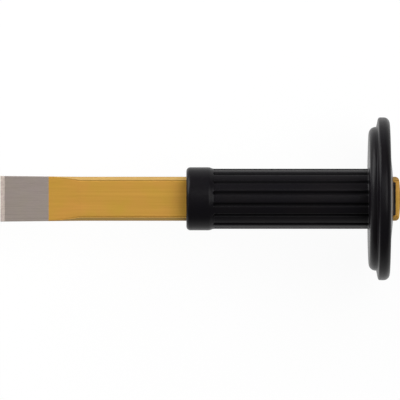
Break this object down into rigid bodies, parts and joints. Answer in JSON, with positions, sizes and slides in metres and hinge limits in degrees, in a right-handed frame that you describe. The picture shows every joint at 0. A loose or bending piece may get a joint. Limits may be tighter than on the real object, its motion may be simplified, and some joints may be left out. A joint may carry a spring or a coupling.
{
  "type": "flat cold chisel with hand guard",
  "caption": "Flat bar chisel with a bare ground cutting end, a crowned struck head and a ribbed black grip that ends in a wide round hand guard.",
  "frame": {"origin": "middle of the cutting edge", "axes": "+X along the bar from the cutting edge to the struck head, +Z out of the upper flat, +Y along the cutting edge"},
  "size_m": [0.24, 0.0978, 0.0978],
  "materials": {
    "lacquered_steel": "gold lacquer over forged steel, ground bare at the cutting end",
    "guard_rubber": "satin black moulding"
  },
  "bodies": {
    "root": {"chisel_bar": "lacquered_steel", "hand_guard": "guard_rubber"}
  },
  "joints": []
}
